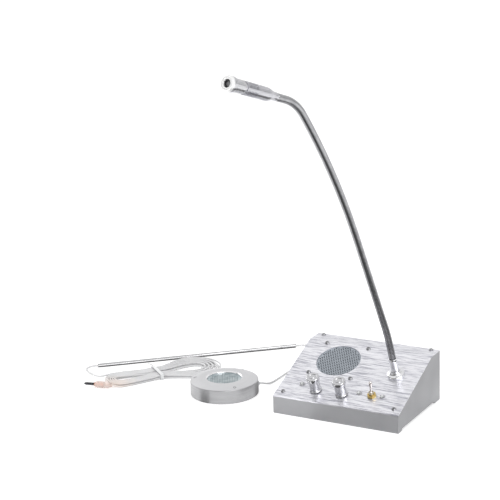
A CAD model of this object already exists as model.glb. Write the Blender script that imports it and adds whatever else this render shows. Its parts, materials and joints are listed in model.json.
# %% [markdown]
# # A counter intercom in Blender
# A desk console with a gooseneck microphone talks to a small round unit on the other side of
# a window. The rigid construction comes as a frame of named nodes. This notebook dresses it:
# it gives every node a finish, and replaces the hose, the cord, the knobs and the microphone
# with surfaces that are worked out from formulas.

# %% Load the frame
import json
import math

import bmesh
import bpy
import numpy as np
from mathutils import Matrix, Vector


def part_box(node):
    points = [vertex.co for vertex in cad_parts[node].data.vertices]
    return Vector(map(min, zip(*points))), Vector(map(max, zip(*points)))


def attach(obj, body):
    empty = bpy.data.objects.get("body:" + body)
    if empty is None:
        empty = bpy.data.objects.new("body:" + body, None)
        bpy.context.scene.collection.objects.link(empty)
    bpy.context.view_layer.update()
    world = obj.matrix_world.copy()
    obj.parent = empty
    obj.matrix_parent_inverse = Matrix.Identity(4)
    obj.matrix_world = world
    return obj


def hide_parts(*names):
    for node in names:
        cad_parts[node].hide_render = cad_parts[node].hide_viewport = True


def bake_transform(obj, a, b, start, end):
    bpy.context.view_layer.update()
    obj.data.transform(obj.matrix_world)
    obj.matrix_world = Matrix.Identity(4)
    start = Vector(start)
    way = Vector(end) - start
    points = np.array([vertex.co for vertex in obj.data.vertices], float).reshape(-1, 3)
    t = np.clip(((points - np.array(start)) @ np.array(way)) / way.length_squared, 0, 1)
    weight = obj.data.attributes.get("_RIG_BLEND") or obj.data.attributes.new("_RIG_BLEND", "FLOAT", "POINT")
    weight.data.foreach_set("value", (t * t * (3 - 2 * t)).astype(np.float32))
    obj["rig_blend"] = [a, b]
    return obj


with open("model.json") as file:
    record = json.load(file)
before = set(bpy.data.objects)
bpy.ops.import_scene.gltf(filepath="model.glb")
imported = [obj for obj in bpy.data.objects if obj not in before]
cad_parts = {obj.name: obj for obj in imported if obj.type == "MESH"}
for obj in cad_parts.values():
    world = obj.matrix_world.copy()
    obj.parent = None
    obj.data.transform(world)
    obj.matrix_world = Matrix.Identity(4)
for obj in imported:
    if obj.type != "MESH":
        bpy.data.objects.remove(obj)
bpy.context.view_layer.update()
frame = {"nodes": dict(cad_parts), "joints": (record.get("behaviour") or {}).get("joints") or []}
nodes = frame["nodes"]
joints = {joint["name"]: joint for joint in frame["joints"]}
MM = 0.001

# %% [markdown]
# Places come from the frame. The left knob's joint lies on the sloped panel and its axis is the
# panel's normal, so that joint and the case's front edge give the whole panel.

# %% The panel's own axes
case_low, case_high = (np.array(corner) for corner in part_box("case_shell"))
panel_normal = np.array(joints["left_knob_turn"]["axis"])
across = np.array([1.0, 0.0, 0.0])
up_slope = np.cross(panel_normal, across)
knob_left_at = np.array(joints["left_knob_turn"]["pos_m"])
knob_right_at = np.array(joints["right_knob_turn"]["pos_m"])
console_middle = (case_low + case_high) / 2
slope_run = (knob_left_at[1] - case_low[1]) / up_slope[1]
panel_corner = knob_left_at - slope_run * up_slope
panel_corner[0] = console_middle[0]

print("panel leans back", round(math.degrees(math.asin(up_slope[2])), 2), "degrees")

# %% [markdown]
# The camera comes early, because what it can't see decides how much cord may lie about. It
# stands where the photographer's stood: turned to the right of the console's front, a little
# above it, and far away with a long lens, so that the box hardly tapers.

# %% Camera
AZIMUTH, ELEVATION, ROLL = math.radians(29.55), math.radians(15.3), math.radians(-1.85)
FOCAL_PIXELS = 1578
IMAGE_PIXELS = 500
CAMERA_OFFSET = np.array([119.1, -173.0, 1753.1]) * MM

camera_back = np.array([
    math.sin(AZIMUTH) * math.cos(ELEVATION),
    -math.cos(AZIMUTH) * math.cos(ELEVATION),
    math.sin(ELEVATION),
])
level_right = np.array([math.cos(AZIMUTH), math.sin(AZIMUTH), 0.0])
level_up = np.cross(camera_back, level_right)
camera_right = math.cos(ROLL) * level_right + math.sin(ROLL) * level_up
camera_up = math.cos(ROLL) * level_up - math.sin(ROLL) * level_right
console_foot = np.array([console_middle[0], console_middle[1], 0.0])
camera_at = (console_foot - CAMERA_OFFSET[0] * camera_right - CAMERA_OFFSET[1] * camera_up
             + CAMERA_OFFSET[2] * camera_back)

camera_data = bpy.data.cameras.new("camera")
camera_data.sensor_width = 36.0
camera_data.lens = FOCAL_PIXELS / IMAGE_PIXELS * camera_data.sensor_width
camera = bpy.data.objects.new("camera", camera_data)
bpy.context.scene.collection.objects.link(camera)
turn = Matrix(np.column_stack([camera_right, camera_up, camera_back]).tolist())
camera.matrix_world = Matrix.Translation(Vector(camera_at)) @ turn.to_4x4()
bpy.context.scene.camera = camera
print("camera at", np.round(camera_at, 3))

# %% [markdown]
# ## Helpers for surfaces
# A surface here is a grid of points: rows along it and columns round it. Faces join each point
# to its neighbours. All of it is array work, so a hose with tens of thousands of points takes
# no longer to write than one with ten.

# %% Grids, caps and meshes


def grid_faces(rows, columns, round_rows=False):
    """Quads between neighbouring points of a grid whose point (i, j) has index i * columns + j.
    The columns close into a ring, and the rows do too where round_rows is true."""
    i = np.arange(rows if round_rows else rows - 1)[:, None]
    j = np.arange(columns)[None, :]
    below, above = i * columns, (i + 1) % rows * columns
    right = (j + 1) % columns
    return np.stack([below + j, below + right, above + right, above + j], -1).reshape(-1, 4)


def unit(vectors):
    """Each vector divided by its length."""
    return vectors / np.linalg.norm(vectors, axis=-1, keepdims=True)


def mesh_piece(name, points, faces, smooth_angle=40):
    """A mesh object from points and faces; points that fall together are merged."""
    mesh = bpy.data.meshes.new(name)
    mesh.from_pydata(np.asarray(points).tolist(), [], [list(map(int, face)) for face in faces])
    work = bmesh.new()
    work.from_mesh(mesh)
    bmesh.ops.remove_doubles(work, verts=work.verts, dist=1e-7)
    bmesh.ops.recalc_face_normals(work, faces=work.faces)
    work.to_mesh(mesh)
    work.free()
    mesh.shade_smooth()
    mesh.set_sharp_from_angle(angle=math.radians(smooth_angle))
    piece = bpy.data.objects.new(name, mesh)
    bpy.context.scene.collection.objects.link(piece)
    return piece


def finish_piece(piece, material, body="console", replaced=()):
    """Gives a piece its material, the body it rides on and what it replaces."""
    piece.data.materials.clear()
    piece.data.materials.append(material)
    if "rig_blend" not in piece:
        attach(piece, body)
    if replaced:
        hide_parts(*replaced)
    return piece


# %% [markdown]
# Many parts of an intercom are turned on a lathe: knobs, flanges, the microphone, the outside
# unit. Their profile is a line of (radius, height) pairs. Real turned edges are never razor
# sharp, so each corner of the profile is rounded before it is spun.

# %% Lathe


def rounded(corners, radius, steps=4, closed=False):
    """A polyline with each corner replaced by a curve: the quadratic (1-t)^2 a + 2t(1-t) c +
    t^2 b between points a and b that lie a radius away from corner c along its two sides."""
    corners = np.asarray(corners, float)
    radius = np.broadcast_to(np.asarray(radius, float), len(corners))
    before, after = np.roll(corners, 1, 0), np.roll(corners, -1, 0)
    to_before, to_after = before - corners, after - corners
    reach = np.minimum(radius, 0.45 * np.minimum(
        np.linalg.norm(to_before, axis=1), np.linalg.norm(to_after, axis=1)))[:, None]
    a = corners + unit(to_before + 1e-12) * reach
    b = corners + unit(to_after + 1e-12) * reach
    t = np.linspace(0, 1, steps)[None, :, None]
    curve = (1 - t) ** 2 * a[:, None] + 2 * t * (1 - t) * corners[:, None] + t**2 * b[:, None]
    if not closed:
        curve[0], curve[-1] = corners[0], corners[-1]
    return curve.reshape(-1, 2)


def frame_of(axis, hint=(1.0, 0.0, 0.0)):
    """Three square unit vectors, of which the last is the axis."""
    z = unit(np.asarray(axis, float))
    y = unit(np.cross(z, np.asarray(hint, float)))
    return np.cross(y, z), y, z


def spun(name, profile, origin, axis, hint=(1.0, 0.0, 0.0), sides=96, closed=True, shape=None,
         smooth_angle=40):
    """A surface of revolution: origin + r cos(t) x + r sin(t) y + h z for every profile pair
    (r, h) and every turn t. shape(r, h, t) may change the radius to cut slots or flutes."""
    profile = np.asarray(profile, float) * MM
    x, y, z = frame_of(axis, hint)
    t = np.linspace(0, 2 * math.pi, sides, endpoint=False)[None, :]
    r, h = profile[:, :1], profile[:, 1:]
    if shape is not None:
        r = shape(r, h, t)
    points = (np.asarray(origin) + (r * np.cos(t))[..., None] * x + (r * np.sin(t))[..., None] * y
              + (h + 0 * t)[..., None] * z)
    faces = grid_faces(len(profile), sides, round_rows=closed)
    return mesh_piece(name, points.reshape(-1, 3), faces, smooth_angle)


# %% [markdown]
# Cords and hoses are tubes: a ring of points at each place along a path, square to the way the
# path goes there. A fixed side vector keeps the rings from twisting, which works as long as
# the path never runs along that vector.

# %% Tubes


def ring_axes(path, reference):
    """Unit vectors to the side of and above a path, square to its direction everywhere."""
    way = unit(np.gradient(path, axis=0))
    side = unit(np.cross(way, reference))
    return side, np.cross(side, way)


def tube(name, path, radius, reference=(0.0, 0.0, 1.0), sides=12, smooth_angle=60):
    """A tube round a path: point + r (cos(t) side + sin(t) up). The radius is one number or an
    array with a value for every ring and side, and the ends are closed by flat caps."""
    side, up = ring_axes(path, np.asarray(reference, float))
    t = 2 * math.pi * np.arange(sides) / sides
    r = np.broadcast_to(np.asarray(radius, float), (len(path), sides))[..., None]
    points = (path[:, None] + r * (np.cos(t)[None, :, None] * side[:, None]
                                   + np.sin(t)[None, :, None] * up[:, None]))
    faces = grid_faces(len(path), sides).tolist()
    last = (len(path) - 1) * sides
    faces += [list(range(sides))[::-1], [last + k for k in range(sides)]]
    return mesh_piece(name, points.reshape(-1, 3), faces, smooth_angle)


def path_length(path):
    """Distance along a path."""
    return float(np.linalg.norm(np.diff(path, axis=0), axis=1).sum())


def distance_along(path):
    """Distance from a path's start to each of its points."""
    return np.concatenate([[0], np.cumsum(np.linalg.norm(np.diff(path, axis=0), axis=1))])


def even_steps(path, step):
    """The same path with points an even distance apart."""
    along = distance_along(path)
    wanted = np.linspace(0, along[-1], max(2, int(round(along[-1] / step)) + 1))
    return np.stack([np.interp(wanted, along, path[:, k]) for k in range(3)], 1)


def through(points, fineness):
    """A Catmull-Rom curve: between b and c, with neighbours a and d, the cubic
    (2b + (c-a)t + (2a-5b+4c-d)t^2 + (3b-a-3c+d)t^3) / 2. First and last spans stay straight."""
    p = np.asarray(points, float)
    a, b, c, d = (p[k:len(p) - 3 + k, None] for k in range(4))
    t = np.linspace(0, 1, fineness, endpoint=False)[None, :, None]
    curve = 0.5 * (2 * b + (c - a) * t + (2 * a - 5 * b + 4 * c - d) * t**2
                   + (3 * b - a - 3 * c + d) * t**3)
    return np.concatenate([p[:1], curve.reshape(-1, 3), p[-2:]])


# %% [markdown]
# ## The cord
# A clear two-core cord leaves the outside unit through a grommet, crosses the counter, runs
# through a straight conduit and then lies in a flat hank, tied at its waist, that ends in a
# plug. The route's points are chosen by hand, and the hank's loops come from a formula: runs
# and folds that spiral inwards on the upper layer and out again on the lower one.

# %% Route of the lead
CORD_RADIUS = 1.1 * MM
GLAND_TURN, GLAND_HEIGHT, GLAND_OUT = math.radians(43), 6.3 * MM, 2 * MM
CONDUIT_TURN, CONDUIT_LENGTH = math.radians(221.3), 246 * MM
CONDUIT_FROM = np.array([-94.5, 267, 2.2]) * MM
housing_low, housing_high = (np.array(corner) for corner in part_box("out_housing"))
outside_middle = (housing_low + housing_high) / 2
outside_radius = (housing_high[0] - housing_low[0]) / 2
outside_floor = np.array([outside_middle[0], outside_middle[1], 0.0])


def polar(distance, angle, height=0.0):
    """A flat polar step with a height."""
    return np.array([distance * math.cos(angle), distance * math.sin(angle), height])


gland_inside = outside_floor + polar(outside_radius - 4 * MM, GLAND_TURN, GLAND_HEIGHT)
gland_mouth = outside_floor + polar(outside_radius + GLAND_OUT + 2 * MM, GLAND_TURN, GLAND_HEIGHT)
conduit_way = polar(1, CONDUIT_TURN)
conduit_to = CONDUIT_FROM + CONDUIT_LENGTH * conduit_way
lead_right = np.concatenate([
    [gland_inside, gland_mouth],
    np.array([[-61.5, 132, 3], [-60.8, 143, 1.2], [-60.2, 161, 1.1], [-60.2, 180, 1.1],
              [-60.8, 200, 1.1], [-62.5, 227, 1.1], [-65.5, 252, 1.1], [-69, 266, 1.1],
              [-75.5, 273.5, 1.4], [-84, 274.5, 2]]) * MM,
    [CONDUIT_FROM - 4 * MM * conduit_way, CONDUIT_FROM + 4 * MM * conduit_way],
])
lead_left = np.concatenate([
    [conduit_to - 4 * MM * conduit_way, conduit_to + 4 * MM * conduit_way],
    np.array([[-286.5, 97, 1.8], [-286, 90, 1.3], [-280, 84.5, 1.1], [-271, 79, 1.3],
              [-261, 73.5, 2.2], [-252.5, 72, 3.2]]) * MM,
])

# %% [markdown]
# The hank could be drawn point by point, but its loops differ only by a number. One formula with
# the loop's count gives them all, and keeps each run a cord's thickness from the next.

# %% Loops of the hank
HANK_AT, HANK_TURN = np.array([-197, 109, 0]) * MM, math.radians(51)
LOOPS = 5
HANK_LEFT, HANK_RIGHT = 45 * MM, 46 * MM
WAIST_HALF, LEFT_HALF, RIGHT_HALF = (1.7, 2.8), (6.8, 2.75), (10, 4.6)
LAYER_STEP, TIE_LIFT, TIE_REACH = 2.75 * MM, 1 * MM, 14 * MM
hank_way, hank_side = polar(1, HANK_TURN), polar(1, HANK_TURN + math.pi / 2)


def to_hank(along, aside, height):
    """A point in the hank's own axes: along it, to its side, and up."""
    return (HANK_AT + along[..., None] * hank_way + aside[..., None] * hank_side
            + height[..., None] * np.array([0, 0, 1.0]))


def hank_path(s):
    """The cord at loop count s. Each loop has a run, a fold, a run back and a fold, a quarter
    of the loop each. The loop's number sets its widths at the waist and at both folds, and the
    width eases between them by (1 - cos) / 2 along a run."""
    turn_at = LOOPS + 1 / 8
    rho = np.abs(turn_at - s)
    quarter = 4 * (s - np.floor(s))
    part, f = np.floor(quarter), quarter - np.floor(quarter)
    layer = np.clip(1 - 4 * (s - LOOPS), 0, 1)
    height = CORD_RADIUS + LAYER_STEP * layer
    waist = (WAIST_HALF[0] + WAIST_HALF[1] * rho) * MM
    left = (LEFT_HALF[0] + LEFT_HALF[1] * rho) * MM
    right = (RIGHT_HALF[0] + RIGHT_HALF[1] * rho) * MM
    along = np.where(part == 0, -HANK_LEFT + f * (HANK_LEFT + HANK_RIGHT),
                     HANK_RIGHT - f * (HANK_LEFT + HANK_RIGHT))
    ease = (1 - np.cos(math.pi * np.where(along < 0, -along / HANK_LEFT, along / HANK_RIGHT))) / 2
    width = waist + (np.where(along < 0, left, right) - waist) * ease
    lift = np.where(np.abs(along) < TIE_REACH,
                    TIE_LIFT * (1 + np.cos(math.pi * along / TIE_REACH)) / 2, 0)
    run = to_hank(along, np.where(part == 0, width, -width), height + lift)
    fold_right = to_hank(HANK_RIGHT + right * np.sin(math.pi * f), right * np.cos(math.pi * f),
                         height)
    fold_left = to_hank(-HANK_LEFT - left * np.sin(math.pi * f), -left * np.cos(math.pi * f),
                        height)
    picked = np.where((part == 1)[:, None], fold_right, fold_left)
    return np.where(((part == 0) | (part == 2))[:, None], run, picked)


hank_end = 2 * LOOPS - 0.25
hank = hank_path(np.linspace(0, hank_end, int(hank_end * 96) + 1))
print("the hank holds", round(path_length(hank), 3), "m of cord")

# %% [markdown]
# All stretches join into one path of even steps, so the cord is one tube with its real length.
# The clear jacket is glass-like, and two twisted cores run inside it.

# %% Whole cord
TAIL_POINTS = np.array([[-53.6, -20.4, 2], [-58.8, -19.4, 3.4], [-62, -17, 4], [-65.2, -14.6, 4]])
CORD_STEP = 1.5 * MM
tail_points = np.concatenate([
    [hank[-1], hank[-1] - 3 * MM * hank_way],
    to_hank(*(TAIL_POINTS.T * MM)),
])
lead_left = np.concatenate([lead_left, [hank[0] - 6 * MM * hank_way, hank[0]]])
cord_path = even_steps(np.concatenate([
    through(lead_right, 16), through(lead_left, 16), hank[1:], through(tail_points, 16)[1:],
]), CORD_STEP)
cord_length = path_length(cord_path)
PLUG_TURN = HANK_TURN + math.radians(143)
plug_way = polar(1, PLUG_TURN)
plug_at = to_hank(*(TAIL_POINTS[2:3].T * MM))[0]
print("cord", round(cord_length, 3), "m,", len(cord_path), "rings")

# %% [markdown]
# ## Finishes
# Effects that several finishes share are node groups: streaks for brushed metal, and mottle,
# which gives soft spots and fine grain to paint, plating and mouldings. A picture wrapped round
# the piece could do the same, but nodes stay sharp at any size and need no file. Each material
# then has its own Principled shader.

# %% Node helpers


def add(tree, kind, **settings):
    """A new node with its properties set."""
    node = tree.nodes.new(kind)
    for key, value in settings.items():
        setattr(node, key, value)
    return node


def new_group(name, inputs, outputs):
    """An empty shader node group with float inputs and named outputs."""
    group = bpy.data.node_groups.new(name, "ShaderNodeTree")
    for label, default in inputs.items():
        socket = group.interface.new_socket(label, in_out="INPUT", socket_type="NodeSocketFloat")
        socket.default_value = default
    for label, kind in outputs.items():
        group.interface.new_socket(label, in_out="OUTPUT", socket_type=kind)
    return group, add(group, "NodeGroupInput"), add(group, "NodeGroupOutput")


def mapped(tree, stretch):
    """Object coordinates multiplied by a stretch for each axis."""
    coordinates = add(tree, "ShaderNodeTexCoord")
    mapping = add(tree, "ShaderNodeMapping")
    mapping.inputs["Scale"].default_value = stretch
    tree.links.new(coordinates.outputs["Object"], mapping.inputs["Vector"])
    return mapping.outputs["Vector"]


# %% Sums made of nodes


def maths(tree, operation, a, b):
    """One Math node on two values, each a number or another node's output."""
    node = add(tree, "ShaderNodeMath", operation=operation)
    for socket, value in zip(node.inputs, (a, b)):
        if isinstance(value, float):
            socket.default_value = value
        else:
            tree.links.new(value, socket)
    return node.outputs[0]


def dotted(tree, vector, direction):
    """The dot product of a vector with a fixed direction."""
    dot = add(tree, "ShaderNodeVectorMath", operation="DOT_PRODUCT")
    dot.inputs[1].default_value = tuple(direction)
    tree.links.new(vector, dot.inputs[0])
    return dot.outputs["Value"]


def risen(tree, value, start, end, level=1.0, curve="LINEAR"):
    """0 where a value is before start, the level after end, and between them a straight or
    smooth rise."""
    span = add(tree, "ShaderNodeMapRange", interpolation_type=curve)
    span.inputs["From Min"].default_value = start
    span.inputs["From Max"].default_value = end
    span.inputs["To Max"].default_value = level
    tree.links.new(value, span.inputs["Value"])
    return span.outputs["Result"]


# %% Noise and colour ramps


def noise(tree, vector, scale, detail=2.0, roughness=0.5):
    """A noise texture on a vector; the scale is a number or a socket."""
    texture = add(tree, "ShaderNodeTexNoise")
    texture.inputs["Detail"].default_value = detail
    texture.inputs["Roughness"].default_value = roughness
    tree.links.new(vector, texture.inputs["Vector"])
    if isinstance(scale, (int, float)):
        texture.inputs["Scale"].default_value = scale
    else:
        tree.links.new(scale, texture.inputs["Scale"])
    return texture.outputs["Fac"]


def ramp(tree, value, stops):
    """A colour ramp through (place, grey or colour) stops."""
    node = add(tree, "ShaderNodeValToRGB")
    while len(node.color_ramp.elements) < len(stops):
        node.color_ramp.elements.new(0.5)
    for element, (place, colour) in zip(node.color_ramp.elements, stops):
        element.position = place
        colour = (colour,) * 3 if isinstance(colour, (int, float)) else colour
        element.color = (*colour, 1)
    tree.links.new(value, node.inputs["Fac"])
    return node.outputs["Color"]


# %% [markdown]
# Brushing leaves long shallow scratches. Noise that is stretched some twentyfold along the
# brushing direction gives fine lines, and a second, coarser one gives the broad streaks that
# catch the light as bands.

# %% Shared effects


def make_streaks(name, stretch_fine, stretch_broad):
    """Group: long streaks as Mask (0 dark, 1 light) and a finer Height."""
    group, inside, outside = new_group(
        name, {"Broad": 0.5}, {"Mask": "NodeSocketFloat", "Height": "NodeSocketFloat"})
    fine = noise(group, mapped(group, stretch_fine), 1.0, 3.0, 0.6)
    broad = noise(group, mapped(group, stretch_broad), 1.0, 4.0, 0.65)
    blend = add(group, "ShaderNodeMix", data_type="FLOAT")
    group.links.new(inside.outputs["Broad"], blend.inputs["Factor"])
    group.links.new(fine, blend.inputs["A"])
    group.links.new(broad, blend.inputs["B"])
    group.links.new(blend.outputs["Result"], outside.inputs["Mask"])
    group.links.new(fine, outside.inputs["Height"])
    return group


def make_mottle():
    """Group: soft large spots and fine grain, for handled and painted surfaces."""
    group, inside, outside = new_group(
        "mottle", {"Spots": 40.0, "Grain": 900.0},
        {"Spots": "NodeSocketFloat", "Grain": "NodeSocketFloat"})
    vector = mapped(group, (1, 1, 1))
    group.links.new(noise(group, vector, inside.outputs["Spots"], 3.0), outside.inputs["Spots"])
    group.links.new(noise(group, vector, inside.outputs["Grain"], 1.0), outside.inputs["Grain"])
    return group


STREAKS_ACROSS = make_streaks("streaks across", (75, 1600, 1600), (42, 640, 640))
STREAKS_ROUND = make_streaks("streaks round", (60, 60, 2600), (30, 30, 900))
MOTTLE = make_mottle()
GRAIN_HEIGHT, SCRATCH_HEIGHT = 0.05 * MM, 0.04 * MM
print("shared effects:", STREAKS_ACROSS.name, "-", STREAKS_ROUND.name, "-", MOTTLE.name)

# %% [markdown]
# No real paint or plating is quite even. So a finish here drifts between two colours and two
# roughnesses, led by the spots or the streaks above, and a shallow bump breaks up its highlights.

# %% Parts of a material


def new_material(name, colour, metallic=0.0, roughness=0.5, **sockets):
    """A material with one Principled shader and its plain socket values."""
    material = bpy.data.materials.new(name)
    material.use_nodes = True
    shader = material.node_tree.nodes["Principled BSDF"]
    shader.inputs["Base Color"].default_value = (*colour, 1)
    shader.inputs["Metallic"].default_value = metallic
    shader.inputs["Roughness"].default_value = roughness
    for label, value in sockets.items():
        shader.inputs[label.replace("_", " ")].default_value = value
    return material


def place_group(material, group, **values):
    """A group node in a material, with its input values."""
    node = add(material.node_tree, "ShaderNodeGroup", node_tree=group)
    for label, value in values.items():
        node.inputs[label].default_value = value
    return node


def drive(material, socket, output):
    """Feeds a shader input from an output."""
    shader = material.node_tree.nodes["Principled BSDF"]
    material.node_tree.links.new(output, shader.inputs[socket])


def bumped(material, height, strength, distance):
    """Adds a bump from a height output."""
    bump = add(material.node_tree, "ShaderNodeBump")
    bump.inputs["Strength"].default_value = strength
    bump.inputs["Distance"].default_value = distance
    material.node_tree.links.new(height, bump.inputs["Height"])
    drive(material, "Normal", bump.outputs["Normal"])


# %% Mottled and brushed finishes


def shaded(name, low, high, metallic, rough_low, rough_high, spots=40.0, grain=900.0, bump=0.1):
    """A finish whose colour and roughness drift between two values with soft spots, under a
    fine grain."""
    material = new_material(name, high, metallic, rough_high)
    tree = material.node_tree
    group = place_group(material, MOTTLE, Spots=spots, Grain=grain)
    drive(material, "Base Color", ramp(tree, group.outputs["Spots"], [(0.3, low), (0.7, high)]))
    drive(material, "Roughness",
          ramp(tree, group.outputs["Spots"], [(0.3, rough_high), (0.7, rough_low)]))
    bumped(material, group.outputs["Grain"], bump, GRAIN_HEIGHT)
    return material


def brushed(name, group, dark, light, metallic, rough_low, rough_high, broad=0.5, bump=0.25,
            contrast=(0.35, 0.65)):
    """A brushed metal: streaks change its colour and roughness and raise fine lines."""
    material = new_material(name, light, metallic, rough_high)
    tree = material.node_tree
    streaks = place_group(material, group, Broad=broad)
    mask, (start, end) = streaks.outputs["Mask"], contrast
    drive(material, "Base Color", ramp(tree, mask, [(start, dark), (end, light)]))
    drive(material, "Roughness", ramp(tree, mask, [(start, rough_high), (end, rough_low)]))
    bumped(material, streaks.outputs["Height"], bump, SCRATCH_HEIGHT)
    return material


# %% [markdown]
# Some pieces change their finish along their length: the microphone's cap ends in a brighter
# ring, and the switch's bush is plated only where it stands out of the panel. A mask of the
# place on the piece mixes in the second finish.

# %% Masks by place


def from_point(tree, origin):
    """Object coordinates measured from a point."""
    coordinates = add(tree, "ShaderNodeTexCoord")
    offset = add(tree, "ShaderNodeVectorMath", operation="SUBTRACT")
    offset.inputs[1].default_value = tuple(origin)
    tree.links.new(coordinates.outputs["Object"], offset.inputs[0])
    return offset.outputs["Vector"]


def size_of(tree, vector):
    """The length of a vector."""
    length = add(tree, "ShaderNodeVectorMath", operation="LENGTH")
    tree.links.new(vector, length.inputs[0])
    return length.outputs["Value"]


def along_mask(material, origin, axis, start, end):
    """A mask that rises from 0 to 1 between two distances along an axis."""
    tree = material.node_tree
    return risen(tree, dotted(tree, from_point(tree, origin), axis), start, end)


def radial_mask(material, origin, axis, start, end):
    """A mask that rises from 0 to 1 between two distances from an axis, which is the length of
    the cross product with it."""
    tree = material.node_tree
    cross = add(tree, "ShaderNodeVectorMath", operation="CROSS_PRODUCT")
    cross.inputs[1].default_value = tuple(axis)
    tree.links.new(from_point(tree, origin), cross.inputs[0])
    return risen(tree, size_of(tree, cross.outputs["Vector"]), start, end)


def near_mask(material, point, start, end):
    """A mask of the distance from a point."""
    tree = material.node_tree
    return risen(tree, size_of(tree, from_point(tree, point)), start, end)


def mixed_in(material, mask, **finish):
    """Where the mask is 1, the named sockets take new values in place of what feeds them."""
    tree = material.node_tree
    shader = tree.nodes["Principled BSDF"]
    for label, value in finish.items():
        socket = shader.inputs[label.replace("_", " ")]
        mix = add(tree, "ShaderNodeMix", data_type="RGBA")
        colour = (*value, 1) if isinstance(value, tuple) else (value, value, value, 1)
        mix.inputs["B"].default_value = colour
        if socket.is_linked:
            tree.links.new(socket.links[0].from_socket, mix.inputs["A"])
        elif socket.type == "RGBA":
            mix.inputs["A"].default_value = socket.default_value
        else:
            mix.inputs["A"].default_value = (*(socket.default_value,) * 3, 1)
        tree.links.new(mask, mix.inputs["Factor"])
        tree.links.new(mix.outputs["Result"], socket)


# %% [markdown]
# The photograph shows a bright brushed plate on a satin grey case, polished knobs and neck,
# a blue-grey grille, and a brass nut at the switch. Each finish is two tones that drift into each
# other, with a roughness that drifts the other way: one flat value would look like plastic.

# %% Materials of the console
face_plate_metal = brushed("brushed face plate", STREAKS_ACROSS, (0.36, 0.36, 0.42),
                           (0.93, 0.93, 0.97), 0.7, 0.3, 0.46, broad=0.66, bump=0.3,
                           contrast=(0.38, 0.54))
case_paint = shaded("satin case paint", (0.35, 0.352, 0.366), (0.385, 0.387, 0.402), 0.15, 0.36,
                    0.46, spots=25, grain=2600, bump=0.25)
sheet_zinc = shaded("zinc sheet", (0.5, 0.51, 0.53), (0.66, 0.67, 0.68), 0.9, 0.3, 0.5, spots=90)
screw_metal = shaded("plated screws", (0.3, 0.3, 0.31), (0.5, 0.5, 0.52), 0.95, 0.22, 0.38,
                     spots=300)
rubber_black = shaded("black rubber", (0.015, 0.015, 0.016), (0.03, 0.03, 0.032), 0.0, 0.6, 0.8,
                      spots=200, grain=3000, bump=0.4)
grille_paint = shaded("blue-grey grille", (0.32, 0.35, 0.39), (0.42, 0.455, 0.5), 0.3, 0.35, 0.5,
                      spots=30, grain=1800)
basket_paint = shaded("black pressed steel", (0.02, 0.02, 0.022), (0.05, 0.05, 0.055), 0.2, 0.4,
                      0.6)
cone_paper = shaded("speaker cone", (0.17, 0.19, 0.21), (0.24, 0.26, 0.285), 0.0, 0.7, 0.9,
                    spots=400, grain=2500, bump=0.5)
ferrite = shaded("ferrite", (0.05, 0.05, 0.052), (0.1, 0.1, 0.105), 0.1, 0.5, 0.7, spots=150)
board_green = shaded("board", (0.01, 0.09, 0.035), (0.02, 0.15, 0.06), 0.0, 0.25, 0.4, spots=60)
component_black = shaded("components", (0.01, 0.01, 0.014), (0.03, 0.03, 0.035), 0.0, 0.3, 0.5)
brass = shaded("turned brass", (0.48, 0.33, 0.1), (0.8, 0.62, 0.28), 1.0, 0.2, 0.34, spots=500)
polish = shaded("polished metal", (0.8, 0.81, 0.83), (0.9, 0.9, 0.92), 1.0, 0.06, 0.14, spots=120,
                grain=2600, bump=0.04)
lever_chrome = shaded("lever chrome", (0.82, 0.76, 0.73), (0.93, 0.88, 0.85), 1.0, 0.1, 0.2,
                      spots=300)
bezel_metal = shaded("lamp bezels", (0.4, 0.4, 0.42), (0.58, 0.58, 0.6), 1.0, 0.12, 0.22,
                     spots=300)
knob_polish = brushed("turned knob metal", STREAKS_ROUND, (0.6, 0.6, 0.62), (0.74, 0.74, 0.76),
                      1.0, 0.1, 0.2, broad=0.3, bump=0.08)
switch_blue = shaded("switch body", (0.01, 0.03, 0.12), (0.02, 0.05, 0.18), 0.0, 0.4, 0.55)
socket_plastic = shaded("socket plastic", (0.012, 0.012, 0.014), (0.03, 0.03, 0.032), 0.0, 0.35,
                        0.5)
lens_clear = new_material("lamp lens", (0.93, 0.95, 0.95), 0.0, 0.08, Transmission_Weight=0.3,
                          IOR=1.5)
hose_chrome = shaded("hose chrome", (0.34, 0.34, 0.355), (0.44, 0.44, 0.455), 1.0, 0.16, 0.26,
                     spots=160, grain=2600, bump=0.05)
mic_silver = brushed("microphone silver", STREAKS_ROUND, (0.48, 0.48, 0.51), (0.64, 0.64, 0.67),
                     0.95, 0.16, 0.28, broad=0.3, bump=0.1)
cap_silver = brushed("microphone cap", STREAKS_ROUND, (0.5, 0.5, 0.52), (0.68, 0.68, 0.7), 0.95,
                     0.16, 0.28, broad=0.3, bump=0.1)
mesh_dark = shaded("dark mesh", (0.3, 0.3, 0.31), (0.5, 0.5, 0.51), 0.5, 0.35, 0.5, spots=900)
capsule_can = shaded("capsule can", (0.35, 0.35, 0.36), (0.6, 0.6, 0.61), 0.9, 0.25, 0.4)
print(len(bpy.data.materials), "materials so far")

# %% [markdown]
# The outside unit is plain turned silver with a grey-green grille. The cord's jacket and the plug
# are clear mouldings. They are only partly see-through here, because fully clear glass all but
# vanishes over a white counter.

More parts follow.
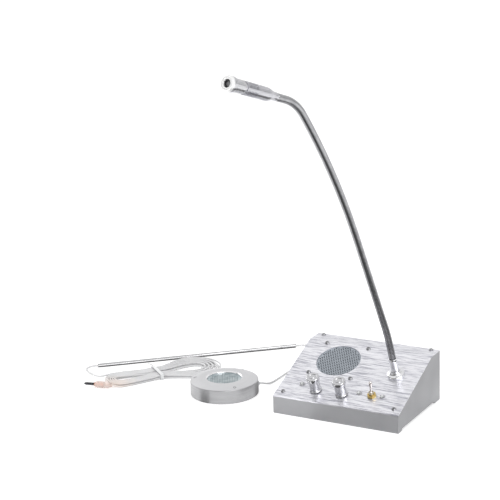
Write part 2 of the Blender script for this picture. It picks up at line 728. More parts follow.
# %% Materials of the outside unit and the cord
unit_silver = brushed("outside unit silver", STREAKS_ROUND, (0.36, 0.36, 0.37),
                      (0.46, 0.46, 0.47), 0.8, 0.3, 0.42, broad=0.35, bump=0.12)
unit_grille = shaded("grey-green grille", (0.36, 0.43, 0.455), (0.6, 0.66, 0.68), 0.35, 0.3, 0.45,
                     spots=140)
grommet = shaded("pale grommet", (0.5, 0.52, 0.54), (0.66, 0.68, 0.7), 0.0, 0.45, 0.6)
jacket_clear = new_material("clear jacket", (0.88, 0.88, 0.89), 0.0, 0.12,
                            Transmission_Weight=0.2, IOR=1.42)
core_tinned = shaded("tinned core", (0.62, 0.64, 0.66), (0.85, 0.86, 0.88), 0.8, 0.25, 0.4,
                     spots=220)
conduit_metal = shaded("conduit tube", (0.5, 0.5, 0.51), (0.62, 0.62, 0.63), 1.0, 0.12,
                       0.2, spots=60)
tie_white = shaded("white tie", (0.8, 0.81, 0.82), (0.9, 0.9, 0.91), 0.0, 0.35, 0.5)
plug_pink = new_material("clear pink moulding", (1.0, 0.88, 0.83), 0.0, 0.12,
                         Transmission_Weight=0.6, IOR=1.45)
copper = shaded("copper", (0.5, 0.22, 0.12), (0.8, 0.42, 0.27), 1.0, 0.2, 0.35, spots=300)
pin_dark = shaded("dark plug pin", (0.05, 0.05, 0.055), (0.12, 0.12, 0.13), 1.0, 0.2, 0.35)
for clear in (lens_clear, jacket_clear, plug_pink):
    haze = place_group(clear, MOTTLE, Spots=300.0, Grain=2000.0)
    drive(clear, "Roughness",
          ramp(clear.node_tree, haze.outputs["Spots"], [(0.3, 0.06), (0.7, 0.16)]))
print(len(bpy.data.materials), "materials")

# %% [markdown]
# ## Rigid parts from the frame
# Flat-sided parts are right as they are, but their edges are razor sharp. A copy of each gets
# its loose triangles merged, flat faces joined, and a small bevel that catches the light, and
# stands for the node. Small hidden parts just take a material.

# %% Softened copies


EDGE_ANGLE, FLAT_ANGLE, BEVEL_SEGMENTS = math.radians(32), math.radians(0.6), 2


def softened(node, material, width):
    """A copy of a node with merged points, joined flat faces and a bevel of some width, in
    millimetres, along every edge that turns by more than EDGE_ANGLE."""
    mesh = nodes[node].data.copy()
    mesh.name = node + "_skin"
    work = bmesh.new()
    work.from_mesh(mesh)
    bmesh.ops.remove_doubles(work, verts=work.verts, dist=2e-6)
    bmesh.ops.dissolve_limit(work, angle_limit=FLAT_ANGLE, verts=work.verts, edges=work.edges)
    work.to_mesh(mesh)
    work.free()
    mesh.shade_smooth()
    mesh.set_sharp_from_angle(angle=EDGE_ANGLE)
    piece = bpy.data.objects.new(node + "_skin", mesh)
    bpy.context.scene.collection.objects.link(piece)
    bevel = piece.modifiers.new("edges", "BEVEL")
    bevel.width = width * MM
    bevel.segments = BEVEL_SEGMENTS
    bevel.limit_method = "ANGLE"
    bevel.angle_limit = EDGE_ANGLE
    bevel.harden_normals = True
    finish_piece(piece, material, "console", [node])


for node, material, slot, width in (
        ("case_shell", case_paint, "case_paint", 0.5),
        ("face_plate", face_plate_metal, "face_brushed", 0.22),
        ("switch_nut", brass, "brass", 0.15),
        ("corner_screws", screw_metal, "screw_steel", 0.12),
        ("grille_screws", screw_metal, "screw_steel", 0.12)):
    softened(node, material, width)
    print(node, "has its edges eased by", width, "mm")

# %% [markdown]
# The other nodes keep their own mesh, since they are small, round or hidden. They only take a
# finish, by name.

# %% Plain finishes


def coat(material, *names):
    """Puts a material on CAD nodes that keep their own mesh."""
    for name in names:
        nodes[name].data.materials.clear()
        nodes[name].data.materials.append(material)


coat(sheet_zinc, "bottom_plate", "out_base", "pots", "switch_washer")
coat(screw_metal, "grille_nuts", "bottom_screws", "board_screws", "out_screws", "bush_nuts",
     "neck_nut")
coat(rubber_black, "rubber_feet", "out_pad")
coat(grille_paint, "speaker_grille")
coat(basket_paint, "speaker_basket", "out_basket")
coat(cone_paper, "speaker_cone")
coat(ferrite, "speaker_magnet", "out_magnet")
coat(board_green, "amp_board")
coat(component_black, "board_parts")
coat(brass, "board_posts")
coat(screw_metal, "shaft_left", "shaft_right")
coat(switch_blue, "switch_body")
coat(lever_chrome, "switch_lever")
coat(bezel_metal, "lamp_bezels")
coat(lens_clear, "lamp_lenses")
coat(socket_plastic, "audio_socket", "dc_inlet")
coat(mesh_dark, "mic_mesh")
coat(capsule_can, "mic_capsule", "out_mic")
coat(unit_grille, "out_grille")
coat(grommet, "out_gland")
print("plain finishes placed")

# %% [markdown]
# ## Knobs
# A knob is turned from bar: a skirt on the panel, a slim body that widens towards its crown,
# and a dished top with a raised boss. It could be stacked from cylinders, but one profile spun
# round the shaft gives every curve at once. A function that changes the radius with the turn
# cuts a fine pointer line down the front.

# %% Turn the knobs
KNOB_HEIGHT, KNOB_SKIRT, KNOB_BODY, KNOB_CROWN = 19.5, 7.2, 6.6, 7.5
POINTER_TURN, POINTER_DEPTH, POINTER_HALF = 1.5 * math.pi, 0.35 * MM, 0.5 * MM
knob_profile = rounded([
    (0.0, 16.6), (3.04, 16.6), (3.04, 6.0), (5.75, 6.0), (5.75, 0.9), (KNOB_SKIRT, 0.9),
    (KNOB_SKIRT, 1.8), (KNOB_BODY - 0.2, 2.3), (KNOB_BODY - 0.4, 4.4), (KNOB_BODY, 14.2),
    (KNOB_CROWN, 15.2), (KNOB_CROWN, KNOB_HEIGHT - 0.7), (KNOB_CROWN - 0.9, KNOB_HEIGHT),
    (4.4, KNOB_HEIGHT), (3.9, KNOB_HEIGHT - 0.7), (3.4, KNOB_HEIGHT - 0.6),
    (3.1, KNOB_HEIGHT + 0.2), (0.0, KNOB_HEIGHT + 0.3)], 0.45, 4)


def pointer_line(r, h, t):
    """A shallow groove down the knob's front: the radius less a depth that falls evenly to 0 at
    half the groove's width from the line that faces the front."""
    from_front = np.abs((t - POINTER_TURN + math.pi) % (2 * math.pi) - math.pi) * r
    depth = POINTER_DEPTH * np.clip(1 - from_front / POINTER_HALF, 0, 1)
    outside = (r > 6.0 * MM) & (h > 3.0 * MM)
    return r - np.where(outside, depth, 0)


for side, place in (("left", knob_left_at), ("right", knob_right_at)):
    knob = spun("knob_" + side + "_turned", knob_profile, place, panel_normal, sides=192,
                closed=False, shape=pointer_line, smooth_angle=35)
    finish_piece(knob, knob_polish, side + "_knob", ["knob_" + side])
print("knobs", KNOB_HEIGHT, "mm high")

# %% [markdown]
# ## Gooseneck
# The hose is wound from round wire with a triangular wire pressed between its turns, so its
# outside is a fine helix of ridges. A bump in the material would look flat at its edges, so the
# ridges are in the mesh. Its path is a chain of arcs in one plane. At rest it is one
# smooth curve. For the poses it is cut in the middle of each rigid length, and each stretch
# bends across the one joint inside it.

# %% Path of the hose
NECK_STRETCHES = [(44, 0), (26, 6.5), (58, 0), (62, 0), (22, 1.3), (84, 5.1), (74, 4.6),
                  (16, 15.8), (17, 16.7), (18, 0)]
HOSE_JOINTS = [44, 128, 212, 296, 386]
HOSE_RADIUS, HOSE_PITCH, HOSE_GROOVE = 3.5 * MM, 1.9 * MM, 0.16 * MM
HOSE_SWELL, SLEEVE_TOP, COLLAR_DEPTH = 0.45 * MM, 24.2, 3.4
HOSE_STEP, HOSE_INSIDE, FINE_STEP = 0.24, 6.0, 0.1
neck_side = np.array(joints["neck_bend_1"]["axis"])
neck_forward = np.cross(neck_side, panel_normal)
neck_foot = np.array(joints["neck_bend_1"]["pos_m"]) - HOSE_JOINTS[0] * MM * panel_normal
runs, bends = np.array(NECK_STRETCHES, float).T
stretch_ends = np.concatenate([[0], np.cumsum(runs)])
headings = np.concatenate([[0], np.cumsum(bends)])


def neck_points(s):
    """Points of the hose's centre line at distances s in millimetres from the panel: the sum of
    small steps whose heading grows evenly along each arc."""
    fine = np.arange(-HOSE_INSIDE, stretch_ends[-1] + FINE_STEP / 2, FINE_STEP)
    angle = np.radians(np.interp(fine, stretch_ends, headings))
    mean_cos = (np.cos(angle[1:]) + np.cos(angle[:-1])) / 2
    mean_sin = (np.sin(angle[1:]) + np.sin(angle[:-1])) / 2
    out = np.concatenate([[0], np.cumsum(mean_cos) * FINE_STEP]) - HOSE_INSIDE
    forward = np.concatenate([[0], np.cumsum(mean_sin) * FINE_STEP])
    return (neck_foot + MM * np.interp(s, fine, out)[:, None] * panel_normal
            + MM * np.interp(s, fine, forward)[:, None] * neck_forward)


neck_length = stretch_ends[-1]
mic_tail = neck_points(np.array([neck_length]))[0]
mic_heading = math.radians(headings[-1])
mic_way = math.cos(mic_heading) * panel_normal + math.sin(mic_heading) * neck_forward
print("hose", neck_length, "mm long; the microphone starts at", np.round(mic_tail, 4))

# %% [markdown]
# The places of the microphone, the plug and the outside unit are known now, so the masks can be
# laid on them. They read the piece's own coordinates, so they move with it in every pose.

# %% Finishes that change along a piece
bush_mask = along_mask(switch_blue, panel_corner, panel_normal, -0.4 * MM, 0.0)
mixed_in(switch_blue, bush_mask, Base_Color=(0.62, 0.56, 0.42), Metallic=1.0, Roughness=0.2)
cap_mask = along_mask(cap_silver, mic_tail, mic_way, 66.2 * MM, 67.2 * MM)
mixed_in(cap_silver, cap_mask, Base_Color=(0.95, 0.95, 0.95), Roughness=0.25, Metallic=0.3)
mouth_mask = radial_mask(mesh_dark, mic_tail, mic_way, 1.6 * MM, 3.4 * MM)
mixed_in(mesh_dark, mouth_mask, Base_Color=(0.04, 0.04, 0.043))
warm_mask = near_mask(jacket_clear, plug_at, 34 * MM, 8 * MM)
mixed_in(jacket_clear, warm_mask, Base_Color=(1.0, 0.9, 0.84))
top_mask = along_mask(unit_silver, outside_floor, (0, 0, 1), 15.6 * MM, 16.4 * MM)
mixed_in(unit_silver, top_mask, Base_Color=(0.7, 0.7, 0.715))
ring_mask = radial_mask(unit_silver, outside_floor, (0, 0, 1), 21.2 * MM, 20.7 * MM)
mixed_in(unit_silver, ring_mask, Base_Color=(0.92, 0.92, 0.93), Roughness=0.14, Metallic=1.0)
print("second finishes laid")

# %% [markdown]
# Each stretch is a tube whose radius is a helix. A hinge between stiff lengths would show a
# kink, so a stretch follows the body below its joint at one end, the body above it at the other,
# and turns smoothly between them.

# %% Wind the hose
HOSE_SIDES, TIGHTENING = 28, 1.2


def hose_piece(name, start, end, body_before, body_after, joint_at, reach, replaced):
    """A stretch of hose from start to end, in millimetres along it. Its radius is a helix of
    rounded ridges, R - g (1 - |cos(pi (s / pitch - t / 2 pi))|^0.6). R is a little smaller
    inside the sleeve and the collar, where the wire is drawn tight."""
    s = np.arange(start, end + 1e-6, HOSE_STEP)
    s[-1] = end
    path = neck_points(s)
    t = np.arange(HOSE_SIDES)[None, :] / HOSE_SIDES
    phase = s[:, None] * MM / HOSE_PITCH - t
    free = (np.clip((s - SLEEVE_TOP) / TIGHTENING, 0, 1)
            * np.clip((neck_length - COLLAR_DEPTH - s) / TIGHTENING, 0, 1))
    radius = (HOSE_RADIUS + HOSE_SWELL * free[:, None]
              - HOSE_GROOVE * (1 - np.abs(np.cos(math.pi * phase)) ** 0.6))
    piece = tube(name, path, radius, neck_side, HOSE_SIDES, smooth_angle=80)
    blend_from, blend_to = neck_points(np.array([joint_at - reach, joint_at + reach]))
    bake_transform(piece, body_before, body_after, blend_from, blend_to)
    finish_piece(piece, hose_chrome, body_before, replaced)


neck_bodies = ["console"] + ["neck_" + str(k) for k in range(1, 6)]
halfway = [(a + b) / 2 for a, b in zip(HOSE_JOINTS, HOSE_JOINTS[1:])]
cuts = [-HOSE_INSIDE, *halfway, neck_length]
hose_nodes = [["hose_foot", "hose_1"], ["hose_2"], ["hose_3"], ["hose_4"], ["hose_5"]]
BLEND_REACH, SLEEVE_REACH = 30, 26
for k, joint_at in enumerate(HOSE_JOINTS):
    reach = min(joint_at - max(cuts[k], SLEEVE_REACH), cuts[k + 1] - joint_at, BLEND_REACH)
    hose_piece("hose_wound_" + str(k + 1), cuts[k], cuts[k + 1], neck_bodies[k],
               neck_bodies[k + 1], joint_at, reach, hose_nodes[k])
print("hose in", len(HOSE_JOINTS), "stretches, each across one joint")

# %% [markdown]
# The foot is a turned flange with a shoulder, and a polished sleeve that holds the hose. Both
# are closed rings in section, spun like the knobs, so the hose passes through a real bore.

# %% Flange and sleeve
flange_profile = rounded([
    (3.62, -9.0), (5.75, -9.0), (5.75, 0.02), (10, 0.02), (10, 2.6), (9.4, 3.4), (7.4, 4.2),
    (6.4, 5.0), (5.9, 6.5), (4.64, 6.5), (4.64, 1.0), (3.62, 1.0)], 0.5, 4, closed=True)
flange = spun("neck_flange_turned", flange_profile, neck_foot, panel_normal, sides=128)
finish_piece(flange, polish, "console", ["neck_flange"])
sleeve_profile = rounded([
    (3.62, 1.02), (4.55, 1.02), (4.55, 20.0), (4.7, 20.6), (4.7, 22.6), (4.4, 23.8), (3.9, 24.0),
    (3.62, 23.6)], 0.35, 4, closed=True)
sleeve = spun("neck_sleeve_turned", sleeve_profile, neck_foot, panel_normal, sides=128)
finish_piece(sleeve, polish, "console", ["neck_sleeve"])
print("flange and sleeve turned")

# %% [markdown]
# ## Microphone
# The microphone is a slim turned tube: a collar that swells out of the hose, a body with rows of
# slots, a groove, and a cap that ends in a thick bright ring round the mesh. Cutting the slots
# with a Boolean would leave ragged faces, so the body's grid is fine enough to dip at each slot.

# %% Turn the microphone
MIC_RADIUS, MIC_LENGTH, RING_RADIUS, MOUTH_RADIUS, LIP_RADIUS = 6.6, 70.0, 7.5, 4.6, 3.9
TAPER_LENGTH = 14.0
swell = np.linspace(0, 1, 14)
swell_radius = 4.3 + (MIC_RADIUS - 4.3) * (1 - np.cos(math.pi * swell)) / 2
collar_profile = np.concatenate([
    [(3.62, 13.9), (3.62, -2.9), (4.0, -3.0), (4.2, -2.7), (4.25, -1.0)],
    np.stack([swell_radius, TAPER_LENGTH * swell - 0.01], 1)])
collar = spun("mic_collar_turned", collar_profile, mic_tail, mic_way, neck_side, sides=96)
finish_piece(collar, mic_silver, "neck_5", ["mic_collar"])

SLOT_FROM, SLOT_PITCH, SLOT_COUNT, SLOT_WIDTH, SLOT_DEPTH = 31.0, 2.1, 7, 0.9, 1.0
BODY_END = 46.0


def slots(r, h, t):
    """Slots round the body: each is SLOT_WIDTH wide along the axis and spans seven tenths of
    each quarter turn, with soft ends."""
    along = (h / MM - SLOT_FROM) / SLOT_PITCH
    in_row = (along > -0.01) & (along < SLOT_COUNT)
    across_slot = np.abs(along - np.floor(along) - SLOT_WIDTH / SLOT_PITCH / 2) * SLOT_PITCH
    deep = np.clip((SLOT_WIDTH / 2 - across_slot) / 0.12, 0, 1)
    quarter = np.abs((t / (math.pi / 2)) % 1 - 0.5)
    open_here = np.clip((0.38 - quarter) / 0.03, 0, 1)
    outside = r > (MIC_RADIUS - 0.3) * MM
    return r - np.where(in_row & outside, SLOT_DEPTH * MM * deep * open_here, 0)


outer_heights = np.arange(TAPER_LENGTH, BODY_END - 0.4, 0.1)
body_profile = np.concatenate([
    [(5.3, BODY_END), (5.3, TAPER_LENGTH)],
    np.stack([np.full(len(outer_heights), MIC_RADIUS), outer_heights], 1),
    [(MIC_RADIUS, BODY_END - 0.4), (MIC_RADIUS - 0.12, BODY_END - 0.12),
     (MIC_RADIUS - 0.4, BODY_END)]])
body = spun("mic_body_turned", body_profile, mic_tail, mic_way, neck_side, sides=144, shape=slots,
            smooth_angle=30)
finish_piece(body, mic_silver, "neck_5", ["mic_body"])

cap_profile = rounded([
    (LIP_RADIUS, 69.4), (LIP_RADIUS, 68.8), (MOUTH_RADIUS, 68.2), (MOUTH_RADIUS, 66.0),
    (4.1, 65.0), (4.1, 43.0), (5.2, 43.0), (5.2, 45.9), (5.8, 46.1),
    (5.8, 49.0), (6.2, 49.0), (MIC_RADIUS, 49.4), (MIC_RADIUS, 61.6), (7.0, 62.0),
    (RING_RADIUS, 62.6), (RING_RADIUS, 68.6), (RING_RADIUS - 0.5, 69.6), (6.2, MIC_LENGTH),
    (4.6, MIC_LENGTH)], 0.4, 4, closed=True)
cap = spun("mic_cap_turned", cap_profile, mic_tail, mic_way, neck_side, sides=128)
finish_piece(cap, cap_silver, "neck_5", ["mic_cap"])
print("microphone", MIC_LENGTH, "mm long")

# %% [markdown]
# ## Outside unit
# A heavy turned ring with a bevelled top. The grille sits in a stepped well, with a bright rim.
# Each corner of its profile has a rounding of its own, because the bevel round its top is softer
# than its foot and the steps of its well.

# %% Turn the housing
rim_height = 16.2
top_height = housing_high[2] / MM
radius = outside_radius / MM
well_floor = top_height - 3.2
housing_profile = rounded([
    (radius - 3, 0.0), (radius - 0.5, 0.0), (radius, 0.5), (radius, rim_height - 0.6),
    (radius - 0.6, rim_height), (29.0, top_height), (20.6, top_height), (20.0, top_height - 0.7),
    (19.5, top_height - 1.2), (19.5, well_floor), (17.5, well_floor), (17.5, top_height - 4.7),
    (radius - 3, top_height - 5.3)],
    [0.2, 0.3, 0.3, 0.5, 0.6, 0.8, 0.5, 0.3, 0.4, 0.1, 0.1, 0.2, 0.3], 5, closed=True)
housing = spun("out_housing_turned", housing_profile, outside_floor, (0, 0, 1), sides=192)
finish_piece(housing, unit_silver, "console", ["out_housing"])
print("housing", round(2 * radius, 1), "mm across")

# %% [markdown]
# ## Cord, tie and plug
# The jacket is one clear tube, and two tinned cores twist inside it. A curve with a round bevel
# could stand for the cord, but a tube of rings keeps its exact length, and the cores can follow
# the same rings.

# %% Jacket and cores
CORE_RADIUS, CORE_OFFSET, CORE_PITCH = 0.36 * MM, 0.42 * MM, 11 * MM
jacket = tube("cord_jacket", cord_path, CORD_RADIUS, sides=10)
finish_piece(jacket, jacket_clear, "console", ["cord_lead", "cord_hank", "cord_tail"])
side, up = ring_axes(cord_path, np.array([0, 0, 1.0]))
twist = 2 * math.pi * distance_along(cord_path)[:, None] / CORE_PITCH
for k in (0, 1):
    line = cord_path + CORE_OFFSET * (np.cos(twist + k * math.pi) * side
                                      + np.sin(twist + k * math.pi) * up)
    core = tube("cord_core_" + str(k + 1), line, CORE_RADIUS, sides=6)
    finish_piece(core, core_tinned)

# %% [markdown]
# The conduit is a straight plated tube that the cord runs through. Over a white counter it shows
# as a pale line between two dark ones. A ring in section, spun along its axis, has both a wall
# and open ends. Its dark line is a reflection, and the studio below provides it.

# %% Conduit
conduit_low, conduit_high = (np.array(corner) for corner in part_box("conduit"))
conduit_radius = (conduit_high[2] - conduit_low[2]) / 2 / MM
conduit_length = CONDUIT_LENGTH / MM
conduit_profile = rounded([
    (1.5, 0.0), (conduit_radius, 0.0), (conduit_radius, conduit_length), (1.5, conduit_length)],
    0.3, 4, closed=True)
conduit = spun("conduit_tube", conduit_profile, CONDUIT_FROM, conduit_way, (0, 0, 1), sides=72)
finish_piece(conduit, conduit_metal, "console", ["conduit"])
print("conduit", round(conduit_length), "mm long,", round(2 * conduit_radius, 2), "mm thick")

# %% [markdown]
# A thin strap holds the hank at its waist. A scaled ring would be as thick at its corners as it
# is wide, so four edges of a strip are swept round a rounded outline, and a short tail sticks up
# beside it.

# %% Tie round the waist
TIE_WIDTH, TIE_THICK, TIE_ROOM = 4.0 * MM, 0.7 * MM, 0.4 * MM
TIE_TAIL, TAIL_RADIUS, TAIL_RISE = 6 * MM, 0.75 * MM, 3.2 * MM
half = (WAIST_HALF[0] + WAIST_HALF[1] * (LOOPS + 1 / 8)) * MM + CORD_RADIUS + TIE_ROOM
top = LAYER_STEP + 2 * CORD_RADIUS + TIE_LIFT + TIE_ROOM + TIE_THICK
corners = rounded([(-half, 0), (half, 0), (half, top), (-half, top)], 2 * MM, 8, closed=True)
# The strap is a band of that outline: four edges of a thin strip are swept round it
outward = unit(np.stack([np.roll(corners, -1, 0)[:, 1] - np.roll(corners, 1, 0)[:, 1],
                         np.roll(corners, 1, 0)[:, 0] - np.roll(corners, -1, 0)[:, 0]], 1) + 1e-12)
strip = np.array([(-0.5, 0), (-0.44, 1), (0.44, 1), (0.5, 0)])
ring_points = (corners[:, None] + TIE_THICK * (strip[None, :, 1:] - 0.5) * outward[:, None]
               + np.array([0, TIE_THICK / 2]))
tie_points = (HANK_AT + (strip[None, :, :1] * TIE_WIDTH) * hank_way
              + ring_points[..., :1] * hank_side + ring_points[..., 1:] * np.array([0, 0, 1.0]))
tie = mesh_piece("tie_strap", tie_points.reshape(-1, 3),
                 grid_faces(len(corners), 4, round_rows=True), 50)
finish_piece(tie, tie_white, "console", ["cord_tie"])
tail_steps = np.linspace(0, 1, 14)[:, None]
tail_from = HANK_AT + (half - 1.5 * MM) * hank_side + np.array([0, 0, top])
tail_line = (tail_from + tail_steps * TIE_TAIL * (0.4 * hank_side - 0.9 * hank_way)
             + np.sqrt(tail_steps) * np.array([0, 0, TAIL_RISE]))
tie_tail = tube("tie_tail", tail_line, TAIL_RADIUS, hank_side, 8)
finish_piece(tie_tail, tie_white)
print("tie", round(2 * half / MM, 1), "mm long over the hank")

# %% [markdown]
# The plug is a clear pink moulding over a copper sleeve, with a dark pin of three contacts. The
# three are separate turned pieces, because the sleeve shows through the moulding.

# %% Plug
grip_profile = rounded([
    (1.25, 0.0), (2.3, 0.0), (3.1, 3.0), (4.0, 5.2), (4.0, 8.0), (3.7, 8.8), (3.7, 10.2),
    (4.0, 11.0), (4.0, 17.0), (3.4, 18.8), (3.1, 20.0), (2.55, 20.0), (2.55, 8.0), (1.25, 8.0)],
    0.5, 4, closed=True)
grip = spun("plug_grip_moulded", grip_profile, plug_at, plug_way, (0, 0, 1), sides=64)
finish_piece(grip, plug_pink, "console", ["plug_grip"])
sleeve_line = rounded([
    (0.0, 9.0), (2.3, 9.0), (2.4, 11.0), (1.9, 11.6), (1.9, 15.0), (2.4, 15.6), (2.4, 21.0),
    (1.76, 21.0), (1.76, 21.2), (0.0, 21.2)], 0.2, 3)
core_metal = spun("plug_core", sleeve_line, plug_at, plug_way, (0, 0, 1), sides=48, closed=False)
finish_piece(core_metal, copper)
pin_line = rounded([
    (0.0, 21.1), (1.74, 21.1), (1.74, 25.6), (1.62, 25.7), (1.62, 26.2), (1.74, 26.3), (1.74, 29.0),
    (1.62, 29.1), (1.62, 29.6), (1.74, 29.7), (1.74, 31.2), (1.3, 32.0), (1.55, 32.7), (0.6, 33.8),
    (0.0, 34.0)], 0.15, 3)
pin = spun("plug_pin_turned", pin_line, plug_at, plug_way, (0, 0, 1), sides=48, closed=False)
finish_piece(pin, pin_dark, "console", ["plug_pin"])
print("plug", round(max(point[1] for point in pin_line)), "mm long")

# %% [markdown]
# It measures the finished tube against that.

# %% [markdown]
# ## Studio
# A pale floor and a plain soft light. White is the colour of the floor and the world, not an
# excess of light: the floor adds a little of its own white where the camera or a reflection
# sees it, and still takes the object's shadow.

# %% Floor
FLOOR_HALF = 6.0
floor_mesh = bpy.data.meshes.new("floor")
floor_mesh.from_pydata([(-FLOOR_HALF, -FLOOR_HALF, 0), (FLOOR_HALF, -FLOOR_HALF, 0),
                        (FLOOR_HALF, FLOOR_HALF, 0), (-FLOOR_HALF, FLOOR_HALF, 0)], [],
                       [(0, 1, 2, 3)])
floor = bpy.data.objects.new("floor", floor_mesh)
bpy.context.scene.collection.objects.link(floor)
FLOOR_TONE, FLOOR_GLOW = (0.9, 0.9, 0.9), 0.42
floor_white = new_material("floor white", FLOOR_TONE, 0.0, 0.9, Specular_IOR_Level=0.1,
                           Emission_Color=(1, 1, 1, 1))
floor_mesh.materials.append(floor_white)
floor_tree = floor_white.node_tree
floor_rays = add(floor_tree, "ShaderNodeLightPath").outputs
seen = maths(floor_tree, "MAXIMUM", floor_rays["Is Camera Ray"], floor_rays["Is Glossy Ray"])
seen = maths(floor_tree, "MAXIMUM", seen, floor_rays["Is Transmission Ray"])
glow = maths(floor_tree, "MULTIPLY", seen, FLOOR_GLOW)
print("floor", 2 * FLOOR_HALF, "m square")

# %% [markdown]
# Polished metal shows nothing but its surroundings, so an all-white studio makes it vanish. A
# photographer lays dark cloths out of the picture. Here the floor itself is darker in a few
# patches, where only a glossy ray meets it: before the console for the neck, at its right for
# the microphone, beside the outside unit for its turned wall, and under the conduit. They are
# placed for the photograph's view, and the camera itself never sees them.

# %% Darker ground for the reflections
ground = add(floor_tree, "ShaderNodeTexCoord").outputs["Object"]
SQUARE = ((-1, -1), (1, -1), (1, 1), (-1, 1))


def ground_patch(corners, soft):
    """Mask of a convex patch of floor: the smallest of its sides' soft steps, where each step
    rises from 0 outside a side to 1 inside it."""
    corners = np.asarray(corners, float)[:, :2]
    middle, mask = corners.mean(axis=0), 1.0
    for here, there in zip(corners, np.roll(corners, -1, axis=0)):
        inward = unit(np.array([here[1] - there[1], there[0] - here[0]]))
        inward = inward * np.sign((middle - here) @ inward)
        side_at = here @ inward
        step = risen(floor_tree, dotted(floor_tree, ground, (*inward, 0)),
                     side_at - soft / 2, side_at + soft / 2, 1.0, "SMOOTHSTEP")
        mask = maths(floor_tree, "MINIMUM", mask, step)
    return mask


# Before the console, for the neck
BEFORE_CONSOLE = [(-0.12, -0.5), (0.4, -0.5), (0.4, 0.058), (0.03, 0.058)]
patches = [(ground_patch(BEFORE_CONSOLE, 10 * MM), 0.97)]
# At its right, along the microphone's own direction on the floor
MIC_PATCH_AT, MIC_PATCH_HALF = np.array([0.30, 0.145, 0.0]), (0.12, 0.24)
mic_flat = unit(mic_way * (1, 1, 0))
mic_across = np.cross(mic_flat, (0, 0, 1))
mic_patch = [MIC_PATCH_AT + a * MIC_PATCH_HALF[0] * mic_across + b * MIC_PATCH_HALF[1] * mic_flat
             for a, b in SQUARE]
patches.append((ground_patch(mic_patch, 40 * MM), 0.95))
# Wedges beside the outside unit: each pair of turns on its wall, seen from the camera's side,
# throws its reflection twice as far round
camera_turn = math.atan2(camera_back[1], camera_back[0])


def wall_ray(turn, distance):
    """The floor's point at a distance along the reflection that leaves the unit's wall at a
    turn from the camera's side."""
    return (outside_floor + polar(outside_radius, camera_turn + turn)
            + distance * polar(1, camera_turn + 2 * turn))


WEDGES, WEDGE_REACH = np.radians([(-44, -26), (62, 85)]), 60 * MM
for first, last in WEDGES:
    wedge = [wall_ray(first, 0), wall_ray(first, WEDGE_REACH), wall_ray(last, WEDGE_REACH),
             wall_ray(last, 0)]
    patches.append((ground_patch(wedge, 3 * MM), 0.75))
# Under the conduit, from behind it to before it
STRIP_BEHIND, STRIP_BEFORE = -14 * MM, 5 * MM
conduit_front = polar(1, CONDUIT_TURN + math.pi / 2)
conduit_strip = [end + f * conduit_front for end, f in (
    (CONDUIT_FROM, STRIP_BEHIND), (conduit_to, STRIP_BEHIND),
    (conduit_to, STRIP_BEFORE), (CONDUIT_FROM, STRIP_BEFORE))]
patches.append((ground_patch(conduit_strip, 1 * MM), 0.97))

shade = 0.0
for mask, depth in patches:
    shade = maths(floor_tree, "MAXIMUM", shade, maths(floor_tree, "MULTIPLY", mask, depth))
shade = maths(floor_tree, "MULTIPLY", shade, floor_rays["Is Glossy Ray"])
mixed_in(floor_white, shade, Base_Color=(0.09, 0.09, 0.09))
drive(floor_white, "Emission Strength",
      maths(floor_tree, "MULTIPLY", glow, maths(floor_tree, "SUBTRACT", 1.0, shade)))
print("darker patches of floor for the reflections:", len(patches))

# %% [markdown]
# The world is the studio's walls and ceiling: bright behind the object, overhead and to the
# camera's right, and dim to its left and front, which gives the metal its second tone.

# %% World
world = bpy.data.worlds.new("studio")
bpy.context.scene.world = world
world.use_nodes = True
sky_tree = world.node_tree
sky = add(sky_tree, "ShaderNodeTexCoord").outputs["Generated"]
sky_rays = add(sky_tree, "ShaderNodeLightPath").outputs
OVERHEAD_LEVEL, BACK_LEVEL, RIGHT_LEVEL, DIM_LEVEL = 0.86, 0.86, 0.68, 0.16


def toward(direction, start, end, level=1.0):
    """Brightness that rises to a level as a ray turns toward a direction."""
    return risen(sky_tree, dotted(sky_tree, sky, direction), start, end, level, "SMOOTHSTEP")


def larger(a, b):
    """The larger of two values."""
    return maths(sky_tree, "MAXIMUM", a, b)


def product(a, b):
    """Two values multiplied."""
    return maths(sky_tree, "MULTIPLY", a, b)


level_back = np.cross(level_right, (0, 0, -1.0))
walls = larger(toward((0, 0, 1), 0.3, 0.75, OVERHEAD_LEVEL),
               toward(level_back, 0.1, 0.6, BACK_LEVEL))
walls = larger(larger(walls, toward(level_right, 0.25, 0.85, RIGHT_LEVEL)), DIM_LEVEL)
print("walls of the studio: behind", BACK_LEVEL, "right", RIGHT_LEVEL, "elsewhere", DIM_LEVEL)

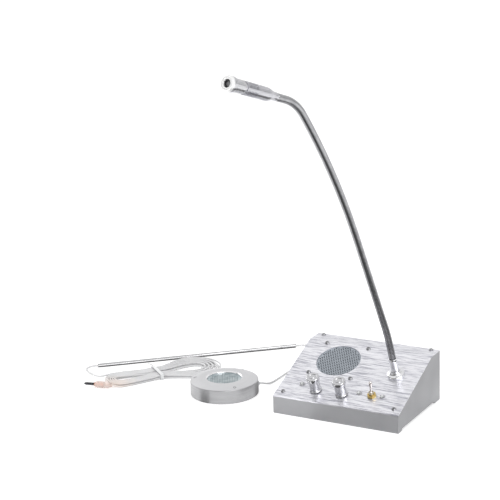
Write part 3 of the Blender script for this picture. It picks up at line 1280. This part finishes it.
# %% [markdown]
# Two bright areas in the world give the metal its highlights. As lamps they would add light to
# the whole object, so only glossy rays see them.

# %% Lights that only reflections see
# A low strip beside the camera, cut off above and below, and a soft one high at the left
STRIP_LEVEL, STRIP_TURN = 3.4, math.radians(317)
LEFT_LEVEL, LEFT_WAY = 1.7, unit(np.array([-0.85, 0.25, 0.47]))
strip = product(toward(polar(1, STRIP_TURN), 0.86, 0.93, STRIP_LEVEL),
                toward((0, 0, 1), 0.02, 0.06))
strip = product(strip, toward((0, 0, -1), -0.5, -0.36))
gleams = product(larger(strip, toward(LEFT_WAY, 0.89, 0.98, LEFT_LEVEL)),
                 sky_rays["Is Glossy Ray"])
white = add(sky_tree, "ShaderNodeMix", data_type="RGBA")
white.inputs["B"].default_value = (1, 1, 1, 1)
sky_tree.links.new(larger(walls, gleams), white.inputs["A"])
sky_tree.links.new(larger(sky_rays["Is Camera Ray"], sky_rays["Is Transmission Ray"]),
                   white.inputs["Factor"])
sky_tree.links.new(white.outputs["Result"], sky_tree.nodes["Background"].inputs["Color"])
print("world ready")

# %% [markdown]
# Three square lamps light the object as a photographer's would: a key at the right, a fill from
# the front and one from behind. Point lamps would give hard spots on the metal. The fill and
# the back lamp are hidden from reflections, because they would burn white squares into the plate.

# %% Lamps


def lamp(name, at, target, size, watts):
    """A square soft lamp that points at a target."""
    data = bpy.data.lights.new(name, "AREA")
    data.size = size
    data.energy = watts
    light = bpy.data.objects.new(name, data)
    bpy.context.scene.collection.objects.link(light)
    aim = (Vector(at) - Vector(target)).to_track_quat("Z", "Y")
    light.matrix_world = Matrix.Translation(Vector(at)) @ aim.to_matrix().to_4x4()
    return light


LAMP_TARGET = (0.0, 0.0, 0.1)
lamp("key", (1.1, -0.35, 1.1), LAMP_TARGET, 0.8, 5.5)
lamp("fill", (-0.7, -1.3, 0.5), LAMP_TARGET, 1.0, 10).visible_glossy = False
lamp("back", (-0.8, 0.75, 1.3), LAMP_TARGET, 1.0, 4).visible_glossy = False
bpy.context.scene.view_settings.view_transform = "Standard"
print("studio ready")
